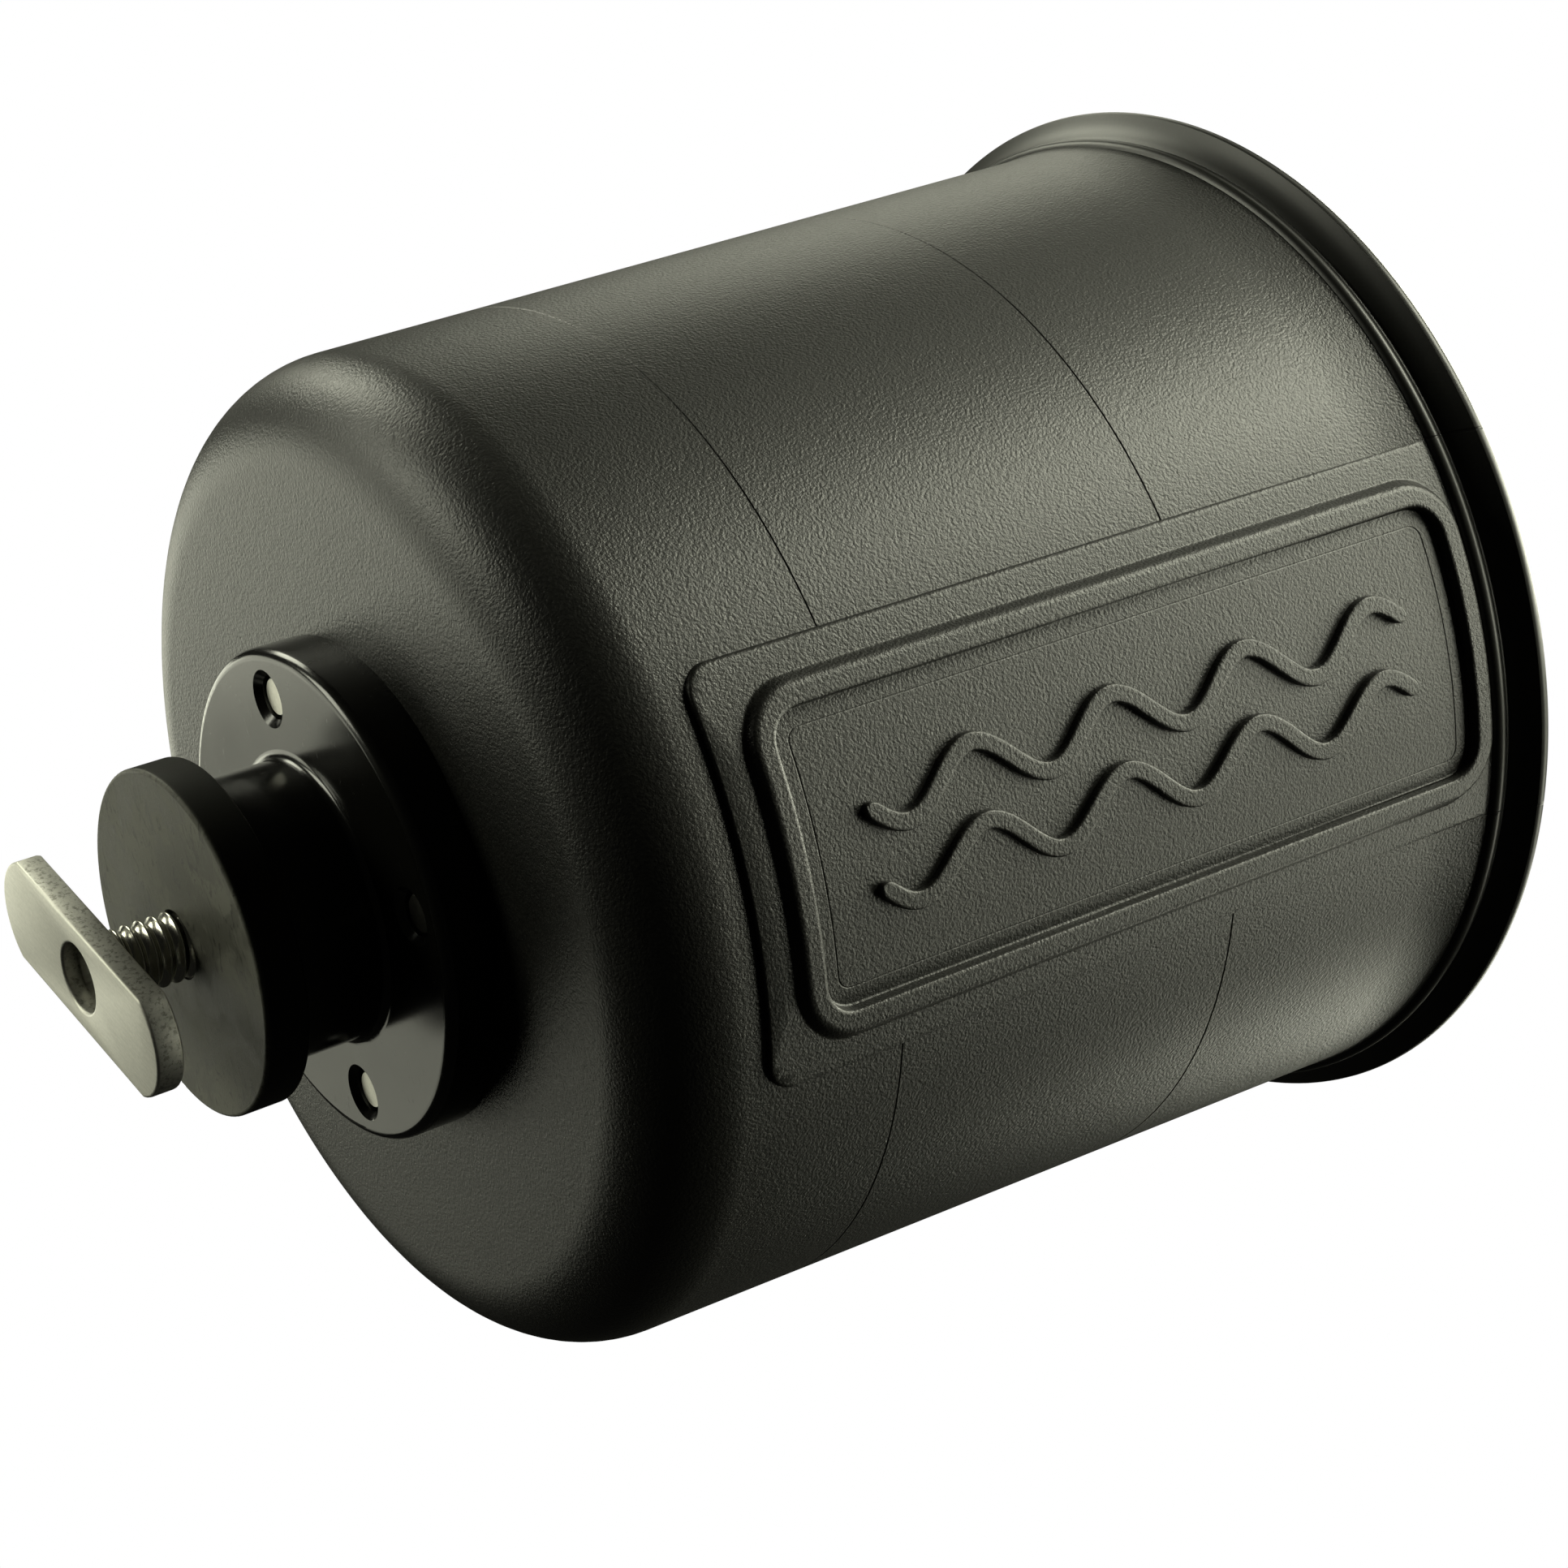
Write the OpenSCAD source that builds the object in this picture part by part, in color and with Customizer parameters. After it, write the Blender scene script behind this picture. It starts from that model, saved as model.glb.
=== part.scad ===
// Track-mount cup holder: a tapered moulded cup on a flanged neck. One bolt goes down through
// the neck and a rubber washer into a plate that slides in a deck track.
// Millimetres. +Z points up the cup towards its mouth, and the badge faces -Y.
// The origin is the middle of the rubber washer's underside, which rests on the track.

/* [Cup] */
// Height of the cup from its flat bottom to the top of its lip
cup_h = 97.2; // [80:0.1:140]
// Outside diameter at the bottom, where the sloping side would meet it
cup_base_d = 92.8; // [84:0.1:112]
// Outward slope of the side, in degrees
cup_draft = 1.75; // [0.5:0.05:3]
// Thickness of the side wall
cup_wall = 2.8; // [2:0.1:4]
// Thickness of the floor
cup_floor = 3.6; // [3.2:0.1:6]
// Radius of the outside bottom edge
cup_edge_r = 9; // [5:0.5:14]

/* [Rim] */
// How far the lip stands out past the side wall
lip_out = 2.8; // [1.5:0.1:5]
// Radius of the lip's round outer edge
lip_edge_r = 0.9; // [0.5:0.1:1.4]
// Height of the flared underside of the lip
lip_flare_h = 2.4; // [1.5:0.1:5]
// Radius of the bead under the lip
bead_r = 0.8; // [0.5:0.1:1.2]
// Radius of the round inner edge of the mouth
mouth_edge_r = 1; // [0.5:0.1:1.4]

/* [Badge] */
// Width of the pad that carries the badge
pad_w = 36; // [28:0.5:44]
// Height of the pad's lower edge above the cup's bottom
pad_low = 10.6; // [9:0.1:16]
// How far the pad stands proud at its lower edge; it is almost flush at the rim
pad_proud = 0.6; // [0.3:0.1:1]
// Corner radius of the pad
pad_corner_r = 2.6; // [1:0.1:5]
// Margin of pad left at each side of the raised frame
frame_side = 3.1; // [1.5:0.1:5]
// Margin of pad left below the frame
frame_foot = 3.4; // [1.5:0.1:8]
// Gap from the frame's upper edge to the bead under the lip
frame_gap = 1.6; // [1.2:0.1:20]
// Width of the frame's band
frame_band = 2.3; // [1.5:0.1:4]
// Height of the frame above the pad
frame_proud = 1; // [0.5:0.1:1.5]
// Outer corner radius of the frame
frame_corner_r = 5; // [3:0.5:8]
// Depth of the panel inside the frame, below the pad
panel_sunk = 0.3; // [0.1:0.1:0.8]

/* [Mount base] */
// Height of the base, from the rubber washer to the cup
base_h = 14.5; // [12:0.1:24]
// Diameter of the neck
neck_d = 26; // [24:0.1:34]
// Radius of the fillet between neck and flange
neck_fillet = 0.8; // [0.4:0.1:2]
// How far the flange stands out past the neck
flange_out = 9.9; // [9:0.1:12]
// Thickness of the flange
flange_t = 5.2; // [4.6:0.1:8]
// Radius of the flange's lower edge
flange_edge_r = 1; // [0.5:0.1:2]
// Depth of the recess that holds the bolt's washer and head
seat_depth = 3.2; // [2:0.1:3.6]
// Thickness of the neck's outer wall round its cored underside
core_wall = 2.4; // [1.8:0.1:3.5]
// Thickness of the four ribs in the core, and of the wall round the bolt
core_rib = 1.8; // [1.2:0.1:2.5]

/* [Rubber washer] */
// Diameter of the rubber washer
pad_washer_d = 31.75; // [28:0.05:44]
// Thickness of the rubber washer
pad_washer_t = 4.25; // [2:0.05:8]
// Rounding of its edges
pad_washer_edge = 0.35; // [0.1:0.05:0.8]

/* [Bolt and track plate] */
// Outside diameter of the bolt's thread
bolt_d = 6.3; // [5:0.05:8]
// Length of the bolt under its head
bolt_len = 25.4; // [22:0.1:40]
// Diameter of the bolt's button head
bolt_head_d = 11.1; // [9:0.1:13]
// Height of the bolt's head
bolt_head_h = 3.35; // [2.5:0.05:4.5]
// Width across the flats of its hexagon socket
bolt_socket = 3.97; // [3:0.01:5]
// Outside diameter of the steel washer under the head
bolt_washer_d = 15.9; // [13:0.1:17]
// Thickness of that washer
bolt_washer_t = 1.65; // [1:0.05:2]
// Radial clearance of the bolt in the base and the rubber washer
bolt_clear = 0.08; // [0.03:0.01:0.1]
// Radial clearance between the thread and the plate's threaded hole
thread_clear = 0.05; // [0.02:0.01:0.1]
// Length of the track plate
plate_len = 29.6; // [20:0.1:45]
// Width of the track plate
plate_w = 10.2; // [9:0.1:16]
// Thickness of the track plate
plate_t = 2.5; // [2:0.1:5]
// How much the radius of its round ends exceeds half its width
plate_end_more = 0.6; // [0.2:0.1:4]
// How far the bolt's tip has entered the plate
plate_engage = 1.2; // [0.6:0.1:2]
// Direction in which the plate lies across the track, in degrees from +X
plate_turn = -64; // [-180:1:180]

/* [Base screws] */
// Distance of the four screws' centres from the neck's side
screw_out = 5.4; // [5:0.1:6]
// Outside diameter of their thread
screw_d = 4; // [3:0.1:5]
// Length of each screw with its countersunk head
screw_len = 8; // [6:0.1:8.4]
// Diameter of the countersunk head
screw_head_d = 8; // [6:0.1:8.5]
// Radial clearance of the screw in the flange
screw_clear = 0.05; // [0.02:0.01:0.1]
// Radial clearance of the screw and its head in the cup's floor
screw_hole_clear = 0.15; // [0.1:0.05:0.4]

/* [Hidden] */
$fn = 96;
eps = 0.01;

// Levels up the centre line
base_z = pad_washer_t;
cup_z = base_z + base_h;
flange_z = cup_z - flange_t;
washer_z = cup_z - seat_depth;
head_z = washer_z + bolt_washer_t;
tip_z = head_z - bolt_len;
plate_z = tip_z + plate_engage - plate_t;

// Places across it
flange_d = neck_d + 2 * flange_out;
screw_circle_r = neck_d / 2 + screw_out;
plate_end_r = plate_w / 2 + plate_end_more;

// The cup's side: radius at a height above its bottom
side_slope = tan(cup_draft);
function side_r(z) = cup_base_d / 2 + z * side_slope;
top_r = side_r(cup_h);
lip_r = top_r + lip_out;
lip_low = cup_h - 2 * lip_edge_r - lip_flare_h;
frame_w = pad_w - 2 * frame_side;
frame_low = pad_low + frame_foot;
frame_top = lip_low - frame_gap;

// Holes
bolt_hole_r = bolt_d / 2 + bolt_clear;
well_r = bolt_washer_d / 2 + 0.3;
floor_hole_r = well_r + 0.3;
screw_hole_r = screw_d / 2 + screw_clear;
screw_mouth_r = screw_hole_r + 0.65;
screw_tip_r = screw_d / 2 - 0.35;
head_rim = 0.2;
head_cone_h = (screw_head_d - screw_d) / 2;

// Copies a shape to each of the four screw places.
module at_screws() {
    for (i = [0:3]) rotate(90 * i) translate([screw_circle_r, 0, 0]) children();
}

// Half section of a tapered cup-shaped solid: foot radius r0, rounded edge r, from 0 up to h.
module cup_section(r0, r, h) {
    rc = r0 - r * (1 - sin(cup_draft)) / cos(cup_draft);
    translate([rc, r]) circle(r);
    polygon([[0, 0], [rc, 0], [rc + r * cos(cup_draft), r - r * sin(cup_draft)],
        [r0 + h * side_slope, h], [0, h]]);
}

// Half section of the bead, the flared lip and its round edge.
module lip_section() {
    edge_r = lip_r - lip_edge_r;
    neck_r = side_r(lip_low);
    inner_r = neck_r - cup_wall / 2;
    translate([edge_r, cup_h - lip_edge_r]) circle(lip_edge_r);
    translate([neck_r, lip_low]) circle(bead_r);
    polygon([[inner_r, lip_low], [neck_r + bead_r / 2, lip_low + bead_r / 2],
        [edge_r + lip_edge_r * cos(30), cup_h - lip_edge_r * 1.5], [edge_r, cup_h], [inner_r, cup_h]]);
}

// Half section of the inside of the cup, with its mouth opened out by a round edge.
module bore_section() {
    mouth_r = top_r - cup_wall;
    inner_edge_r = max(cup_edge_r - cup_wall, 1);
    translate([0, cup_floor])
        cup_section(cup_base_d / 2 - cup_wall + cup_floor * side_slope, inner_edge_r, cup_h);
    difference() {
        translate([0, cup_h - mouth_edge_r]) square([mouth_r + mouth_edge_r, mouth_edge_r + 1]);
        translate([mouth_r + mouth_edge_r, cup_h - mouth_edge_r]) circle(mouth_edge_r);
    }
}

// A flat outline of width w from z0 to z1 with round corners.
module round_panel(w, z0, z1, r) {
    mid = (z0 + z1) / 2;
    square_h = z1 - z0;
    translate([0, mid]) {
        square([w - 2 * r, square_h], center = true);
        square([w, square_h - 2 * r], center = true);
        for (x = [-1, 1], y = [-1, 1])
            translate([x * (w / 2 - r), y * (square_h / 2 - r)]) circle(r);
    }
}

// The part of a wall layer that lies under an outline on the badge side. The layer stands
// low_out proud of the side at the pad's lower edge and top_out at the lip.
module badge_layer(low_out, top_out) {
    intersection() {
        rotate_extrude() polygon([
            [side_r(0) - cup_wall / 2, 0],
            [side_r(pad_low) + low_out - (top_out - low_out) * pad_low / (cup_h - pad_low), 0],
            [top_r + top_out, cup_h],
            [top_r - cup_wall / 2, cup_h]]);
        rotate([90, 0, 0]) linear_extrude(cup_base_d) children();
    }
}

module cup_shell() {
    pad_top = lip_low + bead_r / 2;
    pad_flush = 0.05;
    inner_w = frame_w - 2 * frame_band;
    inner_corner_r = frame_corner_r - frame_band;
    color("#33332e") translate([0, 0, cup_z]) difference() {
        union() {
            rotate_extrude() {
                cup_section(cup_base_d / 2, cup_edge_r, cup_h - lip_edge_r);
                lip_section();
            }
            badge_layer(pad_proud, pad_flush) difference() {
                round_panel(pad_w, pad_low, pad_top, pad_corner_r);
                round_panel(inner_w, frame_low + frame_band, frame_top - frame_band, inner_corner_r);
            }
            badge_layer(pad_proud - panel_sunk, pad_flush)
                round_panel(inner_w + 1, frame_low + frame_band - 0.5, frame_top - frame_band + 0.5,
                    inner_corner_r);
            badge_layer(pad_proud + frame_proud, pad_flush + frame_proud) difference() {
                round_panel(frame_w, frame_low, frame_top, frame_corner_r);
                round_panel(inner_w, frame_low + frame_band, frame_top - frame_band, inner_corner_r);
            }
        }
        rotate_extrude() bore_section();
        translate([0, 0, -1]) cylinder(r = floor_hole_r, h = cup_floor + 2);
        at_screws() {
            translate([0, 0, -1]) cylinder(r = screw_d / 2 + screw_hole_clear, h = cup_floor + 2);
            translate([0, 0, cup_floor - head_rim - head_cone_h])
                cylinder(r1 = screw_d / 2 + screw_hole_clear, r2 = screw_head_d / 2 + screw_hole_clear,
                    h = head_cone_h);
            translate([0, 0, cup_floor - head_rim])
                cylinder(r = screw_head_d / 2 + screw_hole_clear, h = head_rim + 1);
        }
    }
}

// Half section of the flange and neck, with the fillet between them and the round lower edge.
module base_section() {
    under = flange_z - base_z;
    square([neck_d / 2, base_h]);
    difference() {
        translate([0, under - neck_fillet]) square([neck_d / 2 + neck_fillet, neck_fillet + eps]);
        translate([neck_d / 2 + neck_fillet, under - neck_fillet]) circle(neck_fillet);
    }
    translate([0, under]) square([flange_d / 2 - flange_edge_r, flange_t]);
    translate([0, under + flange_edge_r]) square([flange_d / 2, flange_t - flange_edge_r]);
    translate([flange_d / 2 - flange_edge_r, under + flange_edge_r]) circle(flange_edge_r);
}

// The ring-shaped pocket under the neck, without its ribs.
module base_core() {
    boss_r = bolt_hole_r + core_rib;
    core_top = washer_z - base_z - core_wall;
    difference() {
        translate([0, 0, -1]) cylinder(r = neck_d / 2 - core_wall, h = core_top + 1);
        translate([0, 0, -2]) cylinder(r = boss_r, h = core_top + 3);
        for (a = [45, 135]) rotate(a) translate([-neck_d / 2, -core_rib / 2, -2])
            cube([neck_d, core_rib, core_top + 3]);
    }
}

module mount_base() {
    color("#3d3d37") translate([0, 0, base_z]) difference() {
        rotate_extrude() base_section();
        base_core();
        translate([0, 0, -1]) cylinder(r = bolt_hole_r, h = base_h + 2);
        translate([0, 0, base_h - seat_depth]) cylinder(r = well_r, h = seat_depth + 1);
        at_screws() {
            translate([0, 0, base_h - flange_t - 1]) cylinder(r = screw_hole_r, h = flange_t + 2);
            translate([0, 0, base_h - flange_t - eps])
                cylinder(r1 = screw_mouth_r, r2 = screw_hole_r, h = screw_mouth_r - screw_hole_r);
        }
    }
}

module friction_washer() {
    r = pad_washer_d / 2;
    e = pad_washer_edge;
    color("#1f1f1c") difference() {
        rotate_extrude() {
            square([r - e, pad_washer_t]);
            translate([0, e]) square([r, pad_washer_t - 2 * e]);
            for (z = [e, pad_washer_t - e]) translate([r - e, z]) circle(e);
        }
        translate([0, 0, -1]) cylinder(r = bolt_hole_r, h = pad_washer_t + 2);
    }
}

// The bolt: a button head with a hexagon socket, and a shank as thick as its thread.
module mount_bolt() {
    rim = bolt_head_h * 0.25;
    rise = bolt_head_h - rim;
    dome_r = (pow(bolt_head_d / 2, 2) + rise * rise) / (2 * rise);
    chamfer = 0.7;
    color("#b9b9b2") translate([0, 0, head_z]) difference() {
        rotate_extrude() {
            square([bolt_head_d / 2, rim]);
            intersection() {
                translate([0, bolt_head_h - dome_r]) circle(dome_r);
                translate([0, rim - eps]) square([bolt_head_d / 2, rise + 1]);
            }
            translate([0, chamfer - bolt_len]) square([bolt_d / 2, bolt_len - chamfer + eps]);
            polygon([[0, -bolt_len], [bolt_d / 2 - chamfer, -bolt_len],
                [bolt_d / 2, chamfer - bolt_len], [0, chamfer - bolt_len]]);
        }
        translate([0, 0, bolt_head_h * 0.35])
            cylinder(r = bolt_socket / sqrt(3), h = bolt_head_h, $fn = 6);
    }
}

module bolt_washer() {
    color("#c2c2bb") translate([0, 0, washer_z]) difference() {
        cylinder(d = bolt_washer_d, h = bolt_washer_t);
        translate([0, 0, -1]) cylinder(r = bolt_hole_r + 0.35, h = bolt_washer_t + 2);
    }
}

module track_plate() {
    hole_r = bolt_d / 2 + thread_clear;
    chamfer = 0.35;
    end_x = plate_len / 2 - plate_end_r;
    color("#b5b5aa") translate([0, 0, plate_z]) rotate(plate_turn) difference() {
        linear_extrude(plate_t) intersection() {
            square([plate_len, plate_w], center = true);
            union() {
                square([2 * end_x, plate_w], center = true);
                for (x = [-end_x, end_x]) translate([x, 0]) circle(plate_end_r);
            }
        }
        translate([0, 0, -1]) cylinder(r = hole_r, h = plate_t + 2);
        translate([0, 0, -eps]) cylinder(r1 = hole_r + chamfer, r2 = hole_r, h = chamfer);
        translate([0, 0, plate_t - chamfer + eps]) cylinder(r1 = hole_r, r2 = hole_r + chamfer, h = chamfer);
    }
}

// One of the four countersunk screws that hold the base to the cup. Number 1 lies on +X.
module base_screw(number) {
    shank_h = screw_len - head_rim - head_cone_h;
    tip_h = 0.5;
    cross_w = 1.2;
    cross_len = screw_head_d * 0.55;
    cross_deep = 1.5;
    color("#c2c2bb") rotate(90 * (number - 1))
        translate([screw_circle_r, 0, cup_z + cup_floor - screw_len]) difference() {
            union() {
                cylinder(r1 = screw_tip_r, r2 = screw_d / 2, h = tip_h);
                translate([0, 0, tip_h]) cylinder(d = screw_d, h = shank_h - tip_h + eps);
                translate([0, 0, shank_h])
                    cylinder(d1 = screw_d, d2 = screw_head_d, h = head_cone_h);
                translate([0, 0, shank_h + head_cone_h - eps])
                    cylinder(d = screw_head_d, h = head_rim + eps);
            }
            for (a = [0, 90]) rotate(a) translate([-cross_len / 2, -cross_w / 2, screw_len - cross_deep])
                cube([cross_len, cross_w, cross_deep + 1]);
        }
}

cup_shell();
mount_base();
friction_washer();
mount_bolt();
bolt_washer();
track_plate();
for (i = [1:4]) base_screw(i);
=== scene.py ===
import bpy
import bmesh
from math import asin, atan2, cos, degrees, pi, radians, sin, sqrt, tan
from mathutils import Matrix, Vector


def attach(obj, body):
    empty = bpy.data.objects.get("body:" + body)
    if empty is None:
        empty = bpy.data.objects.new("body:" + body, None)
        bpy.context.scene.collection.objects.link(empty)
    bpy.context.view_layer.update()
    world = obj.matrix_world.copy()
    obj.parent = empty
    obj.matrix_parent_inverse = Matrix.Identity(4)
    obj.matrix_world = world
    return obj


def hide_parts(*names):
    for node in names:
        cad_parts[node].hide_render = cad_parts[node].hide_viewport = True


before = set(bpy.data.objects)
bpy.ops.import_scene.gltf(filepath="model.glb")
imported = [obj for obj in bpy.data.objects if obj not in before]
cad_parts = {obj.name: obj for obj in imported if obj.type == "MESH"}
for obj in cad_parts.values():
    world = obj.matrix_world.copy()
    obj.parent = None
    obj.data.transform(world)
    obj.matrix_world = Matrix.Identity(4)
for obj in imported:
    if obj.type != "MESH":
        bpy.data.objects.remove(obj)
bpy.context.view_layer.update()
mm = 0.001
weld = 0.002 * mm
crisp = 35  # degrees, edges sharper than this stay crisp
poleR = 0.0005  # a radius small enough to weld at the centre line


def linked(name, data):
    # a new object in the scene
    thing = bpy.data.objects.new(name, data)
    bpy.context.scene.collection.objects.link(thing)
    return thing


view = {
    "lens": 75.55,
    "aim": Vector((3.5, -2.45, 62.6)) * mm,
    "distance": 317.2 * mm,
    "azimuth": radians(-13.5),
    "elevation": radians(-31.28),
    "roll": radians(70.955),
    "sensor": 36,
    "clip": (0.01, 20),
}


def placeCamera():
    # the holder is held level with its mouth to the right, so the camera leans over a good deal
    a, e = view["azimuth"], view["elevation"]
    back = Vector((sin(a) * cos(e), -cos(a) * cos(e), sin(e)))
    data = bpy.data.cameras.new("studioCamera")
    camera = linked("studioCamera", data)
    data.lens = view["lens"]
    data.sensor_width = view["sensor"]
    data.clip_start, data.clip_end = view["clip"]
    turn = back.to_track_quat("Z", "Y").to_matrix() @ Matrix.Rotation(view["roll"], 3, "Z")
    camera.matrix_world = Matrix.Translation(view["aim"] + back * view["distance"]) @ turn.to_4x4()
    bpy.context.scene.camera = camera
    return camera


camera = placeCamera()
bpy.context.view_layer.update()
cameraTurn = camera.matrix_world.to_3x3()
cameraRight, cameraUp, cameraBack = (cameraTurn.col[i].normalized() for i in range(3))
print("camera set, up is", [round(v, 4) for v in cameraUp])


def markCreases(bm, angle):
    for edge in bm.edges:
        if len(edge.link_faces) == 2:
            edge.smooth = edge.calc_face_angle(0) < radians(angle)


def meshFrom(bm, name):
    mesh = bpy.data.meshes.new(name)
    bm.to_mesh(mesh)
    bm.free()
    return mesh


def finishMesh(bm, name, angle=crisp):
    # merges doubles, turns the faces outwards and shades smooth up to the angle
    bmesh.ops.remove_doubles(bm, verts=bm.verts, dist=weld)
    bmesh.ops.recalc_face_normals(bm, faces=bm.faces)
    if bm.calc_volume(signed=True) < 0:
        bmesh.ops.reverse_faces(bm, faces=bm.faces)
    for face in bm.faces:
        face.smooth = True
    markCreases(bm, angle)
    return linked(name, meshFrom(bm, name))


def turned(points, steps):
    # a closed half section, (radius, height) pairs in millimetres, turned once round the centre line
    bm = bmesh.new()
    verts = [bm.verts.new((r * mm, 0, z * mm)) for r, z in points]
    for pair in zip(verts, verts[1:] + verts[:1]):
        bm.edges.new(pair)
    bmesh.ops.spin(bm, geom=bm.verts[:] + bm.edges[:], cent=(0, 0, 0), axis=(0, 0, 1),
                   angle=2 * pi, steps=steps, use_merge=True, use_duplicate=False)
    return bm


def arc(centre, radius, start, end, steps):
    # points of an arc, angles in degrees from the radius direction towards +Z
    points = []
    for i in range(steps + 1):
        a = radians(start + (end - start) * i / steps)
        points.append((centre[0] + radius * cos(a), centre[1] + radius * sin(a)))
    return points


def cutAway(piece, tools):
    # takes the tool shapes out of a piece and leaves the result in its mesh
    for tool in tools:
        modifier = piece.modifiers.new("cut", "BOOLEAN")
        modifier.operation = "DIFFERENCE"
        modifier.solver = "EXACT"
        modifier.object = tool
    bpy.context.view_layer.update()
    graph = bpy.context.evaluated_depsgraph_get()
    mesh = bpy.data.meshes.new_from_object(piece.evaluated_get(graph))
    piece.modifiers.clear()
    piece.data = mesh
    for tool in tools:
        bpy.data.objects.remove(tool)
    bm = bmesh.new()
    bm.from_mesh(mesh)
    markCreases(bm, crisp)
    bm.to_mesh(mesh)
    bm.free()
    return piece


def drillTool(points, at, steps=48):
    # a closed round tool on its own axis, moved to a place across the part
    bm = turned([(poleR, points[0][1])] + points + [(poleR, points[-1][1])], steps)
    bmesh.ops.remove_doubles(bm, verts=bm.verts, dist=weld / 2)
    bmesh.ops.holes_fill(bm, edges=bm.edges, sides=0)
    bmesh.ops.translate(bm, verts=bm.verts, vec=Vector((at[0], at[1], 0)) * mm)
    return finishMesh(bm, "tool")


def bevelled(bm, edges, width):
    bmesh.ops.bevel(bm, geom=edges, offset=width * mm, segments=3, profile=0.5, affect="EDGES", material=-1)


def raisedFrom(bm, faces, height, keep=False):
    # extrudes flat work by a height given as a vector and returns the new faces
    grown = bmesh.ops.extrude_face_region(bm, geom=faces, use_keep_orig=keep)["geom"]
    bmesh.ops.translate(bm, verts=[v for v in grown if isinstance(v, bmesh.types.BMVert)], vec=height)
    return [f for f in grown if isinstance(f, bmesh.types.BMFace)]


class Wire:
    # one socket of a material's node tree, so that shader maths reads as plain sums
    def __init__(self, shader, socket):
        self.shader = shader
        self.socket = socket

    def math(self, operation, other=None):
        values = [self] if other is None else [self, other]
        return self.shader.node("ShaderNodeMath", {"operation": operation}, values)

    def __add__(self, other):
        return self.math("ADD", other)

    def __radd__(self, other):
        return self.math("ADD", other)

    def __sub__(self, other):
        return self.math("SUBTRACT", other)

    def __rsub__(self, other):
        return self.shader.node("ShaderNodeMath", {"operation": "SUBTRACT"}, [other, self])

    def __mul__(self, other):
        return self.math("MULTIPLY", other)

    def __rmul__(self, other):
        return self.math("MULTIPLY", other)

    def __pow__(self, other):
        return self.math("POWER", other)

    def __abs__(self):
        return self.math("ABSOLUTE")

    def atMost(self, other):
        return self.math("MINIMUM", other)

    def smooth(self, low, high):
        # 0 below low and 1 above high, with a soft step between them
        return self.shader.node("ShaderNodeMapRange", {"interpolation_type": "SMOOTHSTEP"},
                                {"Value": self, "From Min": low, "From Max": high})

    def line(self, at, half):
        # 1 on a narrow line where the value is at, fading to 0 half a width away
        return 1 - abs(self - at).smooth(half * 0.35, half)


class Finish:
    # a material and the one way its nodes are made
    def __init__(self, name):
        self.material = bpy.data.materials.new(name)
        self.material.use_nodes = True
        self.tree = self.material.node_tree
        self.shader = self.tree.nodes["Principled BSDF"]

    def node(self, kind, settings=None, values=None, output=0):
        # a node by its type, its settings, then the values or links of its sockets
        made = self.tree.nodes.new(kind)
        for key, value in (settings or {}).items():
            setattr(made, key, value)
        pairs = values.items() if isinstance(values, dict) else enumerate(values or [])
        for key, value in pairs:
            self.feed(made.inputs[key], value)
        return Wire(self, made.outputs[output])

    def feed(self, socket, value):
        if isinstance(value, Wire):
            self.tree.links.new(value.socket, socket)
        else:
            socket.default_value = value

    def set(self, **values):
        for key, value in values.items():
            self.feed(self.shader.inputs[key.replace("_", " ")], value)

    def place(self):
        # the object's own coordinates in millimetres
        coords = self.node("ShaderNodeTexCoord", output="Object")
        return self.node("ShaderNodeVectorMath", {"operation": "SCALE"}, {"Vector": coords, "Scale": 1 / mm})

    def split(self, vector):
        across = self.node("ShaderNodeSeparateXYZ", {}, [vector])
        return [Wire(self, output) for output in across.socket.node.outputs]

    def stretched(self, vector, scale, turn=0.0):
        return self.node("ShaderNodeMapping", {},
                         {"Vector": vector, "Scale": scale, "Rotation": (0, 0, turn)})

    def noise(self, vector, scale, detail=2.0, rough=0.5, warp=0.0):
        return self.node("ShaderNodeTexNoise", {}, {"Vector": vector, "Scale": scale, "Detail": detail,
                                                    "Roughness": rough, "Distortion": warp})

    def blend(self, mask, first, second):
        # the colour sockets of a Mix node are its seventh and eighth inputs and its third output
        return self.node("ShaderNodeMix", {"data_type": "RGBA"}, {0: mask, 6: first, 7: second}, output=2)

    def bump(self, height, strength, distance):
        return self.node("ShaderNodeBump", {},
                         {"Strength": strength, "Distance": distance * mm, "Height": height})


def tone(colour, share=1.0):
    # a linear colour from 0-255 values, darkened to a share
    linear = []
    for v in colour:
        v = v / 255
        linear.append((v / 12.92 if v <= 0.04045 else ((v + 0.055) / 1.055) ** 2.4) * share)
    return (*linear, 1.0)


def dress(piece, finish):
    # gives every slot of a piece the finish
    if not piece.data.materials:
        piece.data.materials.append(finish.material)
    for i in range(len(piece.data.materials)):
        piece.data.materials[i] = finish.material


def fit(piece, finish, bodyName):
    dress(piece, finish)
    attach(piece, bodyName)


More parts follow.
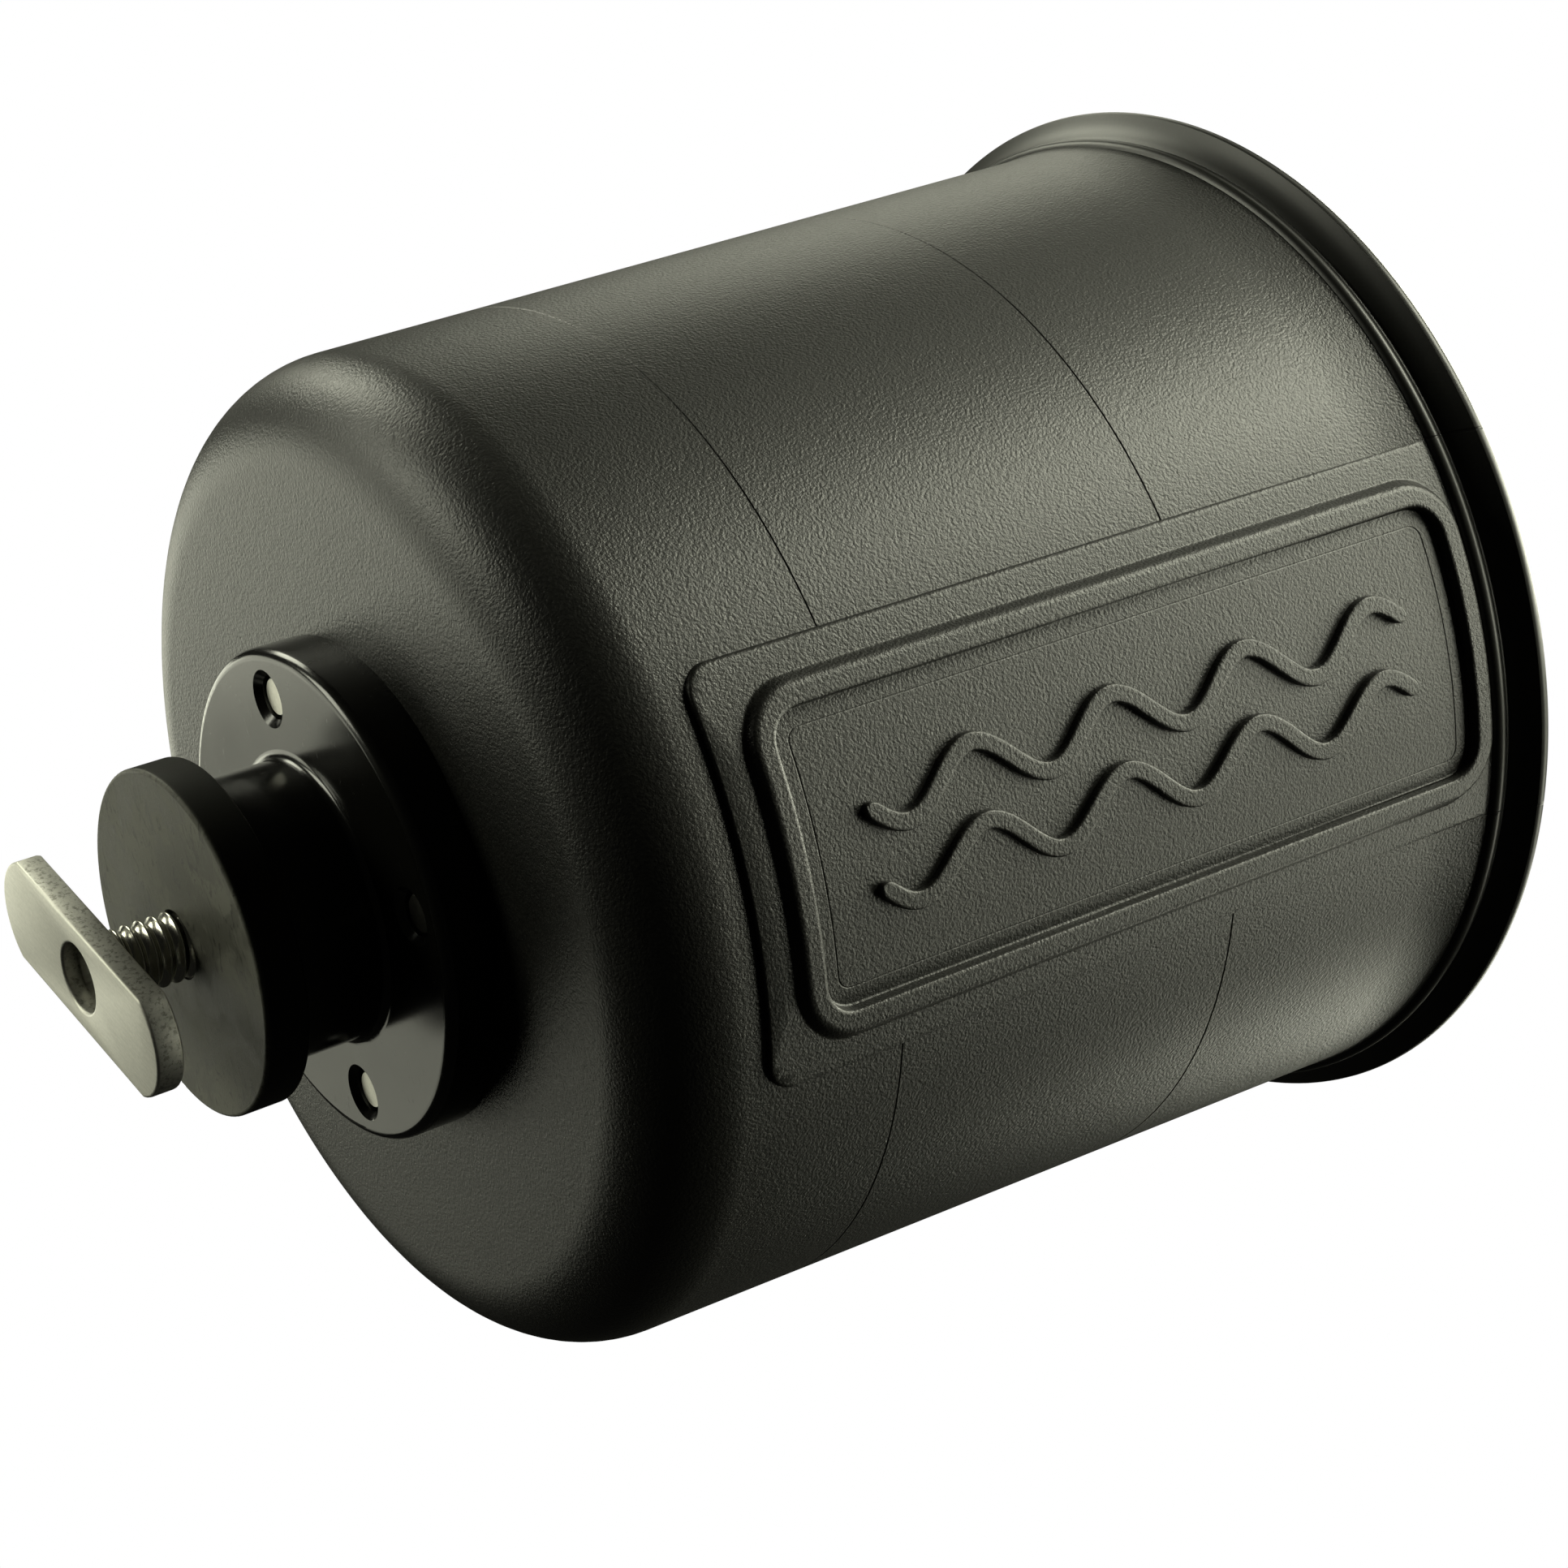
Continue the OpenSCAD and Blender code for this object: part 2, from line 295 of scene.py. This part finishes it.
cup = {
    "foot": 18.75, "height": 97.2, "baseR": 46.4, "draft": radians(1.75), "wall": 2.8, "floor": 3.6,
    "edgeR": 9.0, "holeR": 8.55, "holeEdge": 0.25, "mouthEdgeR": 1.0, "steps": 256,
    "lipOut": 2.79, "lipEdgeR": 0.9, "lipFlare": 2.4, "lipFlat": 1.2, "lipInner": 0.6,
    "beadR": 0.8, "beadFrom": -78, "beadTo": 52, "belowBead": 1.4,
    "neckGroove": [(0.42, 0.86), (0.46, 1.0), (0.62, 1.12)], "flareBulge": 0.16, "flareRows": 6,
    "partings": (43.1, 79.6), "partingHalf": 0.1, "partingDeep": 0.08,
    "sideRows": 11, "insideRows": 9, "footRings": (14.0, 24.0, 33.0), "floorRings": (30.0, 20.0),
    "screwCircle": 18.4, "screwHoleR": 2.15, "headR": 4.15, "headSink": 0.2, "headH": 2.0,
}
cupFinish = {
    "colour": (18, 18, 16), "pale": (26, 26, 23), "stain": (14, 14, 12), "inner": (58, 58, 54),
    "lineColour": (6, 6, 5), "lineHalf": 0.16, "lineDark": 0.75, "lineDeep": 0.9,
    "roughness": 0.38, "lipRoughness": 0.38, "fleckRoughness": 0.06, "innerRoughness": 0.04,
    "grain": 3.6, "grainDepth": 0.08, "padHalf": 18.0, "lipFrom": 110.9, "floorFrom": 21.9,
}


def sideR(z):
    # radius of the cup's outside at a height in the part's frame
    return cup["baseR"] + (z - cup["foot"]) * tan(cup["draft"])


def cupBody():
    c = cup
    foot, draft, hole = c["foot"], c["draft"], c["holeR"]
    top = foot + c["height"]
    floorTop = foot + c["floor"]
    corner = (1 - sin(draft)) / cos(draft)
    outer = c["edgeR"]
    inner = outer - c["wall"]
    outerX = c["baseR"] - outer * corner
    innerX = c["baseR"] - c["wall"] + c["floor"] * tan(draft) - inner * corner
    # up the outside: foot, rounded edge, drafted side with its parting grooves
    points = [(hole + c["holeEdge"], foot)] + [(r, foot) for r in c["footRings"]]
    points += arc((outerX, foot + outer), outer, -90, -degrees(draft), 18)
    lipLow = top - 2 * c["lipEdgeR"] - c["lipFlare"]
    sideH = lipLow - c["belowBead"] - foot - outer
    heights = [foot + outer + sideH * i / c["sideRows"] for i in range(1, c["sideRows"] + 1)]
    side = [(sideR(z), z) for z in heights]
    for z in c["partings"]:
        low, high = z - c["partingHalf"], z + c["partingHalf"]
        side += [(sideR(low), low), (sideR(z) - c["partingDeep"], z), (sideR(high), high)]
    points += sorted(side, key=lambda point: point[1])
    # the bead, the groove above it, the flared underside of the lip and the lip's round edge
    neck = sideR(lipLow)
    points += arc((neck, lipLow), c["beadR"], c["beadFrom"], c["beadTo"], 9)
    points += [(neck + out, lipLow + up) for out, up in c["neckGroove"]]
    edgeR = c["lipEdgeR"]
    edgeX, edgeZ = sideR(top) + c["lipOut"] - edgeR, top - edgeR
    startX, startZ = points[-1]
    endX, endZ = edgeX + edgeR * cos(radians(30)), edgeZ - edgeR * sin(radians(30))
    for i in range(1, c["flareRows"]):
        t = i / c["flareRows"]
        bulge = c["flareBulge"] * sin(pi * t)
        points.append((startX + (endX - startX) * t - bulge, startZ + (endZ - startZ) * t + bulge * 0.4))
    points += arc((edgeX, edgeZ), edgeR, -28, 88, 9)
    # over the mouth's edge, down the inside and across the floor to the middle hole
    mouthX, mouthEdge = sideR(top) - c["wall"] + c["mouthEdgeR"], c["mouthEdgeR"]
    points += [(edgeX - c["lipFlat"], top), (mouthX + c["lipInner"], top)]
    points += arc((mouthX, top - mouthEdge), mouthEdge, 90, 180, 7)
    for i in range(1, c["insideRows"] + 1):
        z = top - mouthEdge + (floorTop + inner - top + mouthEdge) * i / c["insideRows"]
        points.append((sideR(z) - c["wall"], z))
    points += arc((innerX, floorTop + inner), inner, -degrees(draft), -90, 12)[1:]
    points += [(r, floorTop) for r in c["floorRings"]] + [(hole + c["holeEdge"], floorTop)]
    points += [(hole, floorTop - c["holeEdge"]), (hole, foot + c["holeEdge"])]
    piece = finishMesh(turned(points, c["steps"]), "cup_body", 32)
    tools = []
    bore, head = c["screwHoleR"], c["headR"]
    headTop = floorTop - c["headSink"]
    for i in range(4):
        a = radians(90 * i)
        at = (c["screwCircle"] * cos(a), c["screwCircle"] * sin(a))
        tools.append(drillTool([(bore, foot - 1), (bore, headTop - c["headH"]), (head, headTop),
                                (head, floorTop + 1)], at))
    return cutAway(piece, tools)


def cupPlastic():
    # moulded black plastic with a fine spark grain on the sides, plainer on the lip, dusty inside
    c = cupFinish
    f = Finish("cupPlastic")
    place = f.place()
    x, y, z = f.split(place)
    radius = (x * x + y * y) ** 0.5
    lip = z.smooth(c["lipFrom"] - 0.2, c["lipFrom"] + 0.2)
    sideSkin = 1 - lip
    wallR = cup["baseR"] - cup["wall"]
    hollow = 1 - (radius - (z - cup["foot"]) * tan(cup["draft"])).smooth(wallR + 0.3, wallR + 0.7)
    inside = hollow * z.smooth(c["floorFrom"], c["floorFrom"] + 0.3)
    grain = f.noise(place, c["grain"], 1.5) * 0.75 + f.noise(place, c["grain"] * 2.1, 1.0) * 0.25
    patch = f.noise(place, 0.05)
    # the parting lines run round the outside but not over the pad, and the seams cross the lip beside it
    behind = y.smooth(-20.0, -12.0)
    offPad = abs(x).smooth(c["padHalf"], c["padHalf"] + 0.1)
    rings = sum(z.line(height, c["lineHalf"]) for height in cup["partings"])
    rings = rings * behind.math("MAXIMUM", offPad) * (1 - inside) * sideSkin
    seams = abs(x).line(c["padHalf"], c["lineHalf"]) * (1 - behind) * lip
    lines = (rings + seams).atMost(1.0)
    fleck = grain.smooth(0.35, 0.72)
    base = f.blend(fleck, tone(c["colour"]), tone(c["pale"]))
    stained = f.blend(patch.smooth(0.35, 0.7) * 0.3, base, tone(c["stain"]))
    lined = f.blend(lines * c["lineDark"], stained, tone(c["lineColour"]))
    dusty = inside * (0.75 + patch * 0.5).atMost(1.0)
    f.set(Base_Color=f.blend(dusty, lined, tone(c["inner"])))
    side = c["roughness"] + fleck * c["fleckRoughness"]
    f.set(Roughness=side * sideSkin + lip * c["lipRoughness"] + inside * c["innerRoughness"])
    height = grain * sideSkin * (1 - inside * 0.55) - seams * c["lineDeep"]
    f.set(Normal=f.bump(height, 1.0, c["grainDepth"]))
    return f


plasticCup = cupPlastic()
body = cupBody()
fit(body, plasticCup, "holder")
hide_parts("cup_shell")
print("cup body", len(body.data.polygons), "faces")

badge = {
    "padHalf": 18.0, "padLow": 29.35, "padTop": 112.15, "padProud": 0.6, "padFlush": 0.05, "padCorner": 2.6,
    "padTopCorner": 0.6, "padEdge": [(0.07, 0.15), (0.17, 0.07)], "padRise": 0.22, "root": 1.1, "foot": 0.65,
    "frameHalf": 14.9, "frameLow": 32.75, "frameTop": 110.15, "frameCorner": 5.0, "flat": 1.0,
    "outside": [(0.08, 0.0), (0.1, 0.04), (0.1, 0.12), (0.26, 0.5), (0.12, 0.16), (0.18, 0.12), (0.3, 0.06),
                (0.08, 0.0)],
    "inside": [(0.08, 0.0), (0.18, -0.04), (0.12, -0.1), (0.08, -0.2), (0.16, -0.72), (0.08, -0.17),
               (0.12, -0.07), (0.08, 0.0)],
    "panelSunk": 0.3, "panelRise": 0.85, "panelEdge": 1.5, "panelBand": (-0.6, -0.1),
    "witness": 1.2, "groove": [(0.05, 0.0), (0.08, -0.06), (0.08, 0.06), (0.05, 0.0)],
    "cutsAcross": (-17.5, 17.5, 1.0), "cutsAlong": (32, 111, 2.0),
}


def outline(half, low, top, lowCorner, topCorner, steps=10):
    # the points of an upright panel with round corners
    corners = ((1, low, lowCorner, -90), (1, top, topCorner, 0), (-1, top, topCorner, 90),
               (-1, low, lowCorner, 180))
    points = []
    for side, z, r, start in corners:
        centre = (side * (half - r), z + (r if z == low else -r))
        points += arc(centre, r, start, start + 90, steps)
    return points


def padOut(z):
    # how far the pad's face stands off the cup's side
    t = (z - badge["padLow"]) / (cup["foot"] + cup["height"] - badge["padLow"])
    return badge["padProud"] + (badge["padFlush"] - badge["padProud"]) * t


def panelFade(z):
    # the panel is sunk at its lower end and comes up level with the pad at the rim
    t = (z - badge["padLow"]) / (badge["padTop"] - badge["padLow"])
    return min(max(t, 0), 1) * badge["panelRise"]


def wrapToCup(bm, onPanel=False):
    # bends flat work, whose Y is its height off the pad, round the cup's side facing -Y
    b = badge
    low, high = b["panelBand"]
    for vert in bm.verts:
        x, h, z = (v / mm for v in vert.co)
        rise = b["panelSunk"] * panelFade(z)
        overPanel = abs(x) < b["frameHalf"] - b["panelEdge"] and z > b["frameLow"] + b["panelEdge"]
        if onPanel:
            h += rise - b["panelSunk"]
        elif low < h < high and overPanel:
            h += rise
        r = sideR(z) + padOut(z) + h
        vert.co.y = -sqrt(max(r * r - x * x, 0)) * mm


def cutStrips(bm, cuts, axis):
    # cuts flat work into strips, so that it can follow the curve
    first, last, gap = cuts
    normal = Vector((0, 0, 0))
    normal[axis] = 1
    for i in range(int((last - first) / gap) + 1):
        bmesh.ops.bisect_plane(bm, geom=bm.verts[:] + bm.edges[:] + bm.faces[:], dist=weld / 10,
                               plane_co=normal * (first + i * gap) * mm, plane_no=normal)


def ledge(bm, face, width, rise):
    # moves a face's outline inwards by width and the face up by rise
    bmesh.ops.inset_region(bm, faces=[face], thickness=width * mm, use_even_offset=True, use_boundary=True)
    for vert in face.verts:
        vert.co.y += rise * mm


def reshape(face, points):
    # moves a face's corners onto another outline with as many points, going round both in step
    middle = sum(z for x, z in points) / len(points)
    verts = sorted(face.verts, key=lambda v: atan2(v.co.z / mm - middle, v.co.x / mm))
    for vert, (x, z) in zip(verts, sorted(points, key=lambda p: atan2(p[1] - middle, p[0]))):
        vert.co.x = x * mm
        vert.co.z = z * mm


def badgePlate():
    b = badge
    bm = bmesh.new()
    rim = outline(b["padHalf"], b["padLow"], b["padTop"], b["padCorner"], b["padTopCorner"])
    bottom = bm.faces.new([bm.verts.new((x * mm, -b["root"] * mm, z * mm)) for x, z in rim])
    face = raisedFrom(bm, [bottom], (0, (b["root"] - b["padRise"]) * mm, 0), keep=True)[0]
    for width, rise in b["padEdge"] + [(0.02, 0)]:
        ledge(bm, face, width, rise)
    grow = b["foot"]
    corner = b["frameCorner"] + grow
    reshape(face, outline(b["frameHalf"] + grow, b["frameLow"] - grow, b["frameTop"] + grow, corner, corner))
    # up the outside of the frame, over its top and down to the panel with its thin witness groove
    for width, rise in b["outside"] + [(b["flat"], 0)] + b["inside"] + [(b["witness"], 0)] + b["groove"]:
        ledge(bm, face, width, rise)
    cutStrips(bm, b["cutsAcross"], 0)
    cutStrips(bm, b["cutsAlong"], 2)
    wrapToCup(bm)
    return finishMesh(bm, "badge_plate", 48)


waves = {"length": 60.0, "middle": 71.5, "amplitude": 2.3, "wavelength": 15.0, "width": 1.6, "rise": 0.8,
         "buried": 0.1, "edge": 0.2, "across": (-3.4, 3.4), "cells": (4, 150)}


def waveBand(across, name):
    # one raised wave that runs along the cup, a plain water motif
    w = waves
    bm = bmesh.new()
    bmesh.ops.create_grid(bm, x_segments=w["cells"][0], y_segments=w["cells"][1], size=0.5)
    end = w["width"] / 2
    reach = w["length"] / 2
    turns = 2 * pi / w["wavelength"]
    for vert in bm.verts:
        u, v = vert.co.x, vert.co.y
        s = sin(v * pi) * reach if abs(v) < 0.5 else reach * (1 if v > 0 else -1)
        past = max(abs(s) - (reach - end), 0)
        half = sqrt(max(end * end - past * past, 0.0004))
        slope = w["amplitude"] * turns * cos(turns * s)
        lean = 1 / sqrt(1 + slope * slope)
        off = u * 2 * half
        vert.co.x = (across + w["amplitude"] * sin(turns * s) + off * lean) * mm
        vert.co.z = (w["middle"] + s - off * slope * lean) * mm
        vert.co.y = 0
    raisedFrom(bm, bm.faces[:], (0, (w["rise"] + w["buried"]) * mm, 0))
    bmesh.ops.translate(bm, verts=bm.verts, vec=(0, -w["buried"] * mm, 0))
    bmesh.ops.recalc_face_normals(bm, faces=bm.faces)
    high = w["rise"] * mm * 0.9
    steep = [e for e in bm.edges if e.calc_face_angle(0) > radians(50)]
    bevelled(bm, [e for e in steep if all(v.co.y > high for v in e.verts)], w["edge"])
    wrapToCup(bm, onPanel=True)
    return finishMesh(bm, name, 42)


plate = badgePlate()
bands = [waveBand(across, "badge_wave_" + str(i + 1)) for i, across in enumerate(waves["across"])]
for piece in [plate] + bands:
    fit(piece, plasticCup, "holder")
print("badge", len(plate.data.polygons), "faces and", len(bands), "waves")

baseFinish = {"colour": (16, 16, 14), "scuff": (30, 30, 26), "roughness": 0.15, "depth": 0.02}


def basePlastic():
    # smooth glossy black plastic with faint flow marks and small scuffs
    b = baseFinish
    f = Finish("basePlastic")
    place = f.place()
    flow = f.noise(place, 0.12)
    dust = f.noise(place, 3.5, 2.0, 0.6)
    mark = f.noise(f.stretched(place, (0.3, 1.6, 0.5)), 1.4, 3.0, 0.6, 1.2).smooth(0.6, 0.78)
    f.set(Base_Color=f.blend(mark * 0.4, tone(b["colour"]), tone(b["scuff"])))
    f.set(Roughness=b["roughness"] + flow * 0.08 + mark * 0.12)
    f.set(Normal=f.bump(dust * 0.3 + flow * 2.0, 0.5, b["depth"]))
    return f


rubberFinish = {"face": (82, 82, 75), "dusty": (104, 104, 96), "scuff": (44, 44, 40), "side": (38, 38, 35),
                "roughness": 0.58, "shine": 0.25, "depth": 0.03}


def rubber():
    # matt rubber, dusty and scuffed on the face that meets the track
    r = rubberFinish
    f = Finish("washerRubber")
    place = f.place()
    cloud = f.noise(place, 0.22, 4.0, 0.6, 0.6)
    fine = f.noise(place, 6.0, 3.0, 0.6)
    streak = f.noise(f.stretched(place, (0.45, 1.1, 0.4), 0.9), 0.7, 3.0, 0.6, 2.2)
    side = f.split(place)[2].smooth(0.1, 0.6)
    face = 1 - side
    dusty = cloud.smooth(0.44, 0.6) * face
    scuffed = streak.smooth(0.55, 0.66) * face
    base = f.blend(dusty, tone(r["face"]), tone(r["dusty"]))
    scraped = f.blend(scuffed * 0.7, base, tone(r["scuff"]))
    f.set(Base_Color=f.blend(side, scraped, tone(r["side"])), Specular_IOR_Level=r["shine"])
    f.set(Roughness=r["roughness"] + dusty * 0.1 - scuffed * 0.06 - fine * 0.05 - side * 0.14)
    f.set(Normal=f.bump(fine * 0.6 + streak * 0.8 * face, 0.7, r["depth"]))
    return f


def steel(name, colour, roughness, turn=0.0, sawn=None, sawnDark=(88, 87, 77), depth=0.02):
    # tumbled stainless steel with fine pits and drag lines, and a coarser skin between two sawn heights
    f = Finish(name)
    place = f.place()
    along = f.node("ShaderNodeVectorRotate", {"rotation_type": "Z_AXIS"}, {"Vector": place, "Angle": turn})
    lines = f.noise(f.stretched(along, (0.25, 2.4, 0.25)), 2.2, 3.0, 0.6)
    pits = f.noise(place, 3.4, 3.0, 0.7)
    cloud = f.noise(place, 0.35)
    wear = lines * 0.5 + pits * 0.5
    base = f.blend(wear.smooth(0.3, 0.7), tone(colour, 0.8), tone(colour))
    if sawn:
        z = f.split(place)[2]
        between = z.smooth(sawn[0], sawn[0] + 0.2) * (1 - z.smooth(sawn[1] - 0.2, sawn[1]))
        coarse = f.noise(place, 2.4, 4.0, 0.7).smooth(0.48, 0.64)
        base = f.blend(between * coarse * 0.6, base, tone(sawnDark))
    f.set(Base_Color=base, Metallic=1.0)
    f.set(Roughness=roughness - 0.08 + wear * 0.16 + cloud * 0.06)
    f.set(Normal=f.bump(wear, 0.6, depth))
    return f


bolt = {
    "crest": 3.15, "root": 2.62, "pitch": 1.27, "tip": -8.2, "threadTop": 9.0, "turnSteps": 40,
    "flank": (0.16, 0.48, 0.53, 0.63, 0.68), "crestRound": 0.06, "chamfer": 0.7,
    "headLow": 17.2, "headH": 3.35, "headR": 5.55, "headEdge": 0.2, "headRim": 0.25, "overlap": 0.4,
    "socket": 3.97, "socketFloor": 0.35, "socketCut": 4,
    "steel": {"colour": (204, 202, 192), "roughness": 0.2, "depth": 0.004},
}


def threadedShank():
    # one pitch of thread profile drawn upwards as it turns, then trimmed square
    b = bolt
    p, crest, root = b["pitch"], b["crest"], b["root"]
    low = b["tip"] - 2 * p
    turns = int((b["threadTop"] - low) / p) + 2
    bm = bmesh.new()
    radii = (root, root, crest - b["crestRound"], crest, crest, crest - b["crestRound"], root)
    verts = [bm.verts.new((r * mm, 0, (low + p * t) * mm)) for r, t in zip(radii, (0, *b["flank"], 1))]
    edges = [bm.edges.new(pair) for pair in zip(verts, verts[1:])]
    bmesh.ops.spin(bm, geom=verts + edges, cent=(0, 0, 0), axis=(0, 0, -1), angle=2 * pi * turns,
                   steps=b["turnSteps"] * turns, dvec=(0, 0, p * mm / b["turnSteps"]), use_merge=False,
                   use_duplicate=False)
    bmesh.ops.remove_doubles(bm, verts=bm.verts, dist=weld * 1.5)
    for z, side in ((b["tip"], -1), (b["threadTop"], 1)):
        bmesh.ops.bisect_plane(bm, geom=bm.verts[:] + bm.edges[:] + bm.faces[:], dist=weld / 2,
                               plane_co=(0, 0, z * mm), plane_no=(0, 0, side), clear_outer=True)
        border = [e for e in bm.edges if e.is_boundary]
        rim = [e for e in border if all(abs(v.co.z - z * mm) < weld * 5 for v in e.verts)]
        bmesh.ops.edgeloop_fill(bm, edges=rim)
    for vert in bm.verts:
        # the chamfered start of the thread
        r = Vector((vert.co.x, vert.co.y)).length / mm
        most = crest - b["chamfer"] + vert.co.z / mm - b["tip"]
        if r > most:
            vert.co.x *= most / r
            vert.co.y *= most / r
    return finishMesh(bm, "bolt_thread", 50)


def boltHead():
    b = bolt
    low, height, r, crest = b["headLow"], b["headH"], b["headR"], b["crest"]
    rim = height * b["headRim"]
    rise = height - rim
    domeR = (r ** 2 + rise ** 2) / (2 * rise)
    start = b["threadTop"] - b["overlap"]
    points = [(poleR, start), (crest, start), (crest, low - 0.1), (crest, low), (r - b["headEdge"], low),
              (r, low + b["headEdge"]), (r, low + rim - 0.1)]
    points += arc((0, low + height - domeR), domeR, degrees(atan2(domeR - rise, r)), 89.8, 14)[1:]
    piece = finishMesh(turned(points, 96), "bolt_head")
    bm = bmesh.new()
    socketR = b["socket"] / sqrt(3) * mm
    bmesh.ops.create_cone(bm, cap_ends=True, segments=6, radius1=socketR, radius2=socketR,
                          depth=b["socketCut"] * mm)
    lift = low + height * b["socketFloor"] + b["socketCut"] / 2
    bmesh.ops.translate(bm, verts=bm.verts, vec=(0, 0, lift * mm))
    return cutAway(piece, [finishMesh(bm, "tool", 20)])


shank = threadedShank()
head = boltHead()
steelBolt = steel("stainlessBolt", **bolt["steel"])
for piece in (shank, head):
    fit(piece, steelBolt, "bolt")
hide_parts("mount_bolt")
print("bolt", len(shank.data.polygons), "faces in the thread")

trackPlate = {
    "length": 29.6, "width": 10.2, "thick": 2.5, "endR": 5.7, "low": -9.5, "turn": radians(-64),
    "holeR": 3.2, "edge": 0.28, "endSteps": 18, "holeSteps": 64,
    "steel": {"colour": (196, 195, 188), "roughness": 0.48, "turn": radians(64), "sawn": (-9.35, -7.15)},
}


def plateBody():
    t = trackPlate
    low = t["low"] * mm
    spread = degrees(asin(t["width"] / 2 / t["endR"]))
    bm = bmesh.new()
    points = arc((t["length"] / 2 - t["endR"], 0), t["endR"], -spread, spread, t["endSteps"])
    points += [(-x, -y) for x, y in points]
    verts = [bm.verts.new((x * mm, y * mm, low)) for x, y in points]
    for pair in zip(verts, verts[1:] + verts[:1]):
        bm.edges.new(pair)
    hole = bmesh.ops.create_circle(bm, segments=t["holeSteps"], radius=t["holeR"] * mm)
    bmesh.ops.translate(bm, verts=hole["verts"], vec=(0, 0, low))
    bmesh.ops.triangle_fill(bm, use_beauty=True, use_dissolve=False, edges=bm.edges[:], normal=(0, 0, -1))
    raisedFrom(bm, bm.faces[:], (0, 0, t["thick"] * mm), keep=True)
    bmesh.ops.recalc_face_normals(bm, faces=bm.faces)
    bevelled(bm, [e for e in bm.edges if e.calc_face_angle(0) > radians(60)], t["edge"])
    bmesh.ops.rotate(bm, verts=bm.verts, cent=(0, 0, 0), matrix=Matrix.Rotation(t["turn"], 3, "Z"))
    return finishMesh(bm, "track_plate_body", 40)


slider = plateBody()
fit(slider, steel("stainlessPlate", **trackPlate["steel"]), "plate")
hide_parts("track_plate")
print("track plate", len(slider.data.polygons), "faces")

smallSteel = {"colour": (200, 199, 190), "roughness": 0.32}
dress(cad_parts["mount_base"], basePlastic())
dress(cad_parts["friction_washer"], rubber())
steelSmall = steel("stainlessSmall", **smallSteel)
for name in ("bolt_washer", "base_screw_1", "base_screw_2", "base_screw_3", "base_screw_4"):
    dress(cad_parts[name], steelSmall)
print("carried-over parts dressed")

studio = {"floorDrop": 0.75, "reach": 1.7, "paper": 1.0, "ambient": (0.01, 0.01, 0.0085)}


def studioPaper():
    # one pale sheet: a floor that sweeps up into a dome all round
    bm = bmesh.new()
    bmesh.ops.create_icosphere(bm, subdivisions=5, radius=studio["reach"])
    for vert in bm.verts:
        vert.co.z = max(vert.co.z, -studio["floorDrop"])
    bmesh.ops.reverse_faces(bm, faces=bm.faces)
    turn = Matrix((cameraRight, -cameraBack, cameraUp)).transposed()
    bmesh.ops.transform(bm, matrix=Matrix.Translation(view["aim"]) @ turn.to_4x4(), verts=bm.verts)
    for face in bm.faces:
        face.smooth = True
    paper = linked("studioPaper", meshFrom(bm, "studioPaper"))
    f = Finish("paper")
    f.set(Base_Color=(0, 0, 0, 1), Specular_IOR_Level=0, Roughness=1)
    f.set(Emission_Color=(1, 1, 1, 1), Emission_Strength=studio["paper"])
    dress(paper, f)
    # only the camera sees the sheet, so that the softboxes alone light the holder
    paper.visible_diffuse = False
    paper.visible_glossy = False
    paper.visible_shadow = False
    paper.visible_transmission = False


# softboxes round the holder: degrees to the right of the camera and above it, and power in watts
softboxes = {
    "reach": 0.8, "side": 0.3, "colour": (0.99, 1.0, 0.81), "power": 1.03,
    "lamps": {
        "rightKey": (80, 45, 5.1), "rightHigh": (80, 22, 2.1), "right": (80, 0, 2.0),
        "rightLow": (100, -22, 1.33), "rightTop": (120, 67, 0.45), "rearRight": (140, -22, 1.15),
        "rearTop": (180, 45, 0.61), "leftTop": (-120, 45, 2.15), "leftKey": (-80, 22, 2.15),
        "left": (-100, 0, 0.61), "rearLeft": (-120, 0, 0.55), "farLeft": (-140, 0, 0.73),
        "rearLeftLow": (-120, -22, 0.27), "mouth": (108, 15, 5.0), "mouthRear": (148, 16, 4.0),
    },
}


def lightStudio():
    world = bpy.data.worlds.new("studio")
    world.use_nodes = True
    world.node_tree.nodes["Background"].inputs[0].default_value = (*studio["ambient"], 1)
    bpy.context.scene.world = world
    for name, (right, above, watts) in softboxes["lamps"].items():
        right, above = radians(right), radians(above)
        data = bpy.data.lights.new(name, "AREA")
        data.size = softboxes["side"]
        data.energy = watts * softboxes["power"]
        data.color = softboxes["colour"]
        lamp = linked(name, data)
        level = cameraRight * sin(right) + cameraBack * cos(right)
        away = level * cos(above) + cameraUp * sin(above)
        lamp.location = view["aim"] + away * softboxes["reach"]
        lamp.rotation_euler = away.to_track_quat("Z", "Y").to_euler()


studioPaper()
lightStudio()
bpy.context.scene.view_settings.view_transform = "Standard"
print("studio lit")
